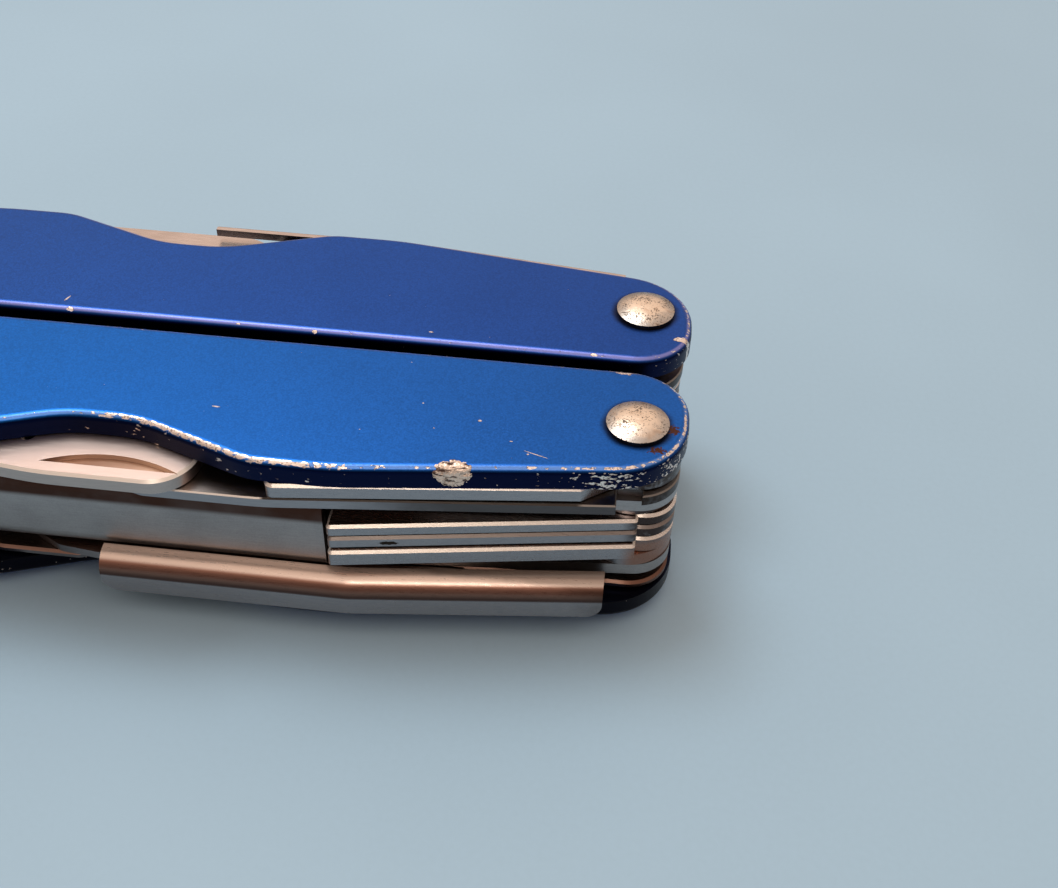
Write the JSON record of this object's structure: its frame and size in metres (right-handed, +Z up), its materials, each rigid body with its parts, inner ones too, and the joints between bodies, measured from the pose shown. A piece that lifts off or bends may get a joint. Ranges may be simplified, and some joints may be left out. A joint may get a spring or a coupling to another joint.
{
  "type": "folding multi-tool",
  "caption": "Closed folding pocket multi-tool: two blue anodised handles side by side, folded pliers between them, steel tools and scissors stacked at the rivets.",
  "frame": {"origin": "centre of the plan outline, on the plane that the lower rivet domes rest on", "axes": "+X along the handles towards the tool end, +Y from the front handle to the back handle, +Z up through the stack"},
  "size_m": [0.0826, 0.0304, 0.017],
  "materials": {
    "anodised_scale": "blue anodised satin, worn at the edges",
    "rivet": "tumbled nickel tone, mottled",
    "washer": "plain",
    "channel_steel": "bead-blasted stainless",
    "spring_steel": "ground stainless",
    "jaw_steel": "cast and tumbled stainless",
    "tool_steel": "ground stainless"
  },
  "bodies": {
    "front_handle": {"front_top_scale": "anodised_scale", "front_bottom_scale": "anodised_scale", "front_channel": "channel_steel", "front_spring_plate": "spring_steel", "front_tool_rivet": "rivet", "front_plier_rivet": "rivet", "front_tool_washer": "washer", "front_tool_spacer": "washer", "front_plier_spacer": "washer"},
    "jaw_front": {"jaw_front": "jaw_steel", "pliers_rivet": "rivet"},
    "jaw_back": {"jaw_back": "jaw_steel"},
    "back_handle": {"back_top_scale": "anodised_scale", "back_bottom_scale": "anodised_scale", "back_channel": "channel_steel", "back_spring_plate": "spring_steel", "back_tool_rivet": "rivet", "back_plier_rivet": "rivet", "back_tool_washer": "washer", "back_tool_spacer": "washer", "back_plier_spacer": "washer"},
    "bottle_opener": {"bottle_opener": "tool_steel"},
    "large_screwdriver": {"large_screwdriver": "tool_steel"},
    "medium_screwdriver": {"medium_screwdriver": "tool_steel"},
    "phillips_driver": {"phillips_driver": "tool_steel"},
    "small_screwdriver": {"small_screwdriver": "tool_steel"},
    "scissors": {"scissor_base": "tool_steel", "scissor_screw": "rivet", "scissor_spring": "tool_steel"},
    "scissor_lever": {"scissor_lever": "tool_steel"},
    "wood_saw": {"wood_saw": "tool_steel"},
    "can_opener": {"can_opener": "tool_steel"},
    "knife_blade": {"knife_blade": "tool_steel"},
    "metal_file": {"metal_file": "tool_steel"},
    "lanyard_loop": {"lanyard_loop": "tool_steel"},
    "awl": {"awl": "tool_steel"}
  },
  "joints": [
    {"name": "front_handle_unfold", "type": "hinge", "parent": "front_handle", "child": "jaw_front", "pos_m": [-0.0376, -0.00675, 0.0085], "axis": [0, 0, 1], "range_deg": [0, 180]},
    {"name": "jaws_open", "type": "hinge", "parent": "jaw_front", "child": "jaw_back", "pos_m": [-0.0226, 0, 0.0085], "axis": [0, 0, -1], "range_deg": [0, 27]},
    {"name": "back_handle_unfold", "type": "hinge", "parent": "jaw_back", "child": "back_handle", "pos_m": [-0.0376, 0.00675, 0.0085], "axis": [0, 0, 1], "range_deg": [0, 180]},
    {"name": "bottle_opener_open", "type": "hinge", "parent": "front_handle", "child": "bottle_opener", "pos_m": [-0.0376, -0.00675, 0.0085], "axis": [0, 0, 1], "range_deg": [-180, 0]},
    {"name": "large_screwdriver_open", "type": "hinge", "parent": "front_handle", "child": "large_screwdriver", "pos_m": [0.0376, -0.00675, 0.0085], "axis": [0, 0, 1], "range_deg": [0, 180]},
    {"name": "medium_screwdriver_open", "type": "hinge", "parent": "front_handle", "child": "medium_screwdriver", "pos_m": [0.0376, -0.00675, 0.0085], "axis": [0, 0, 1], "range_deg": [0, 180]},
    {"name": "phillips_driver_open", "type": "hinge", "parent": "front_handle", "child": "phillips_driver", "pos_m": [0.0376, -0.00675, 0.0085], "axis": [0, 0, 1], "range_deg": [0, 180]},
    {"name": "small_screwdriver_open", "type": "hinge", "parent": "front_handle", "child": "small_screwdriver", "pos_m": [0.0376, -0.00675, 0.0085], "axis": [0, 0, 1], "range_deg": [0, 180]},
    {"name": "scissors_open", "type": "hinge", "parent": "front_handle", "child": "scissors", "pos_m": [0.0376, -0.00675, 0.0085], "axis": [0, 0, 1], "range_deg": [0, 170]},
    {"name": "scissor_lever_spread", "type": "hinge", "parent": "scissors", "child": "scissor_lever", "pos_m": [-0.0064, -0.0096, 0.0085], "axis": [0, 0, 1], "range_deg": [-20, 0]},
    {"name": "wood_saw_open", "type": "hinge", "parent": "back_handle", "child": "wood_saw", "pos_m": [-0.0376, 0.00675, 0.0085], "axis": [0, 0, 1], "range_deg": [0, 180]},
    {"name": "can_opener_open", "type": "hinge", "parent": "back_handle", "child": "can_opener", "pos_m": [0.0376, 0.00675, 0.0085], "axis": [0, 0, 1], "range_deg": [-170, 0]},
    {"name": "knife_blade_open", "type": "hinge", "parent": "back_handle", "child": "knife_blade", "pos_m": [0.0376, 0.00675, 0.0085], "axis": [0, 0, 1], "range_deg": [-180, 0]},
    {"name": "metal_file_open", "type": "hinge", "parent": "back_handle", "child": "metal_file", "pos_m": [0.0376, 0.00675, 0.0085], "axis": [0, 0, 1], "range_deg": [-180, 0]},
    {"name": "lanyard_loop_open", "type": "hinge", "parent": "back_handle", "child": "lanyard_loop", "pos_m": [0.0376, 0.00675, 0.0085], "axis": [0, 0, 1], "range_deg": [-180, 0]},
    {"name": "awl_open", "type": "hinge", "parent": "back_handle", "child": "awl", "pos_m": [0.0376, 0.00675, 0.0085], "axis": [0, 0, 1], "range_deg": [-180, 0]}
  ],
  "couplings": [
    {"joint": "jaws_open", "follows": "front_handle_unfold", "ratio": 0.15},
    {"joint": "back_handle_unfold", "follows": "front_handle_unfold", "ratio": 1}
  ]
}
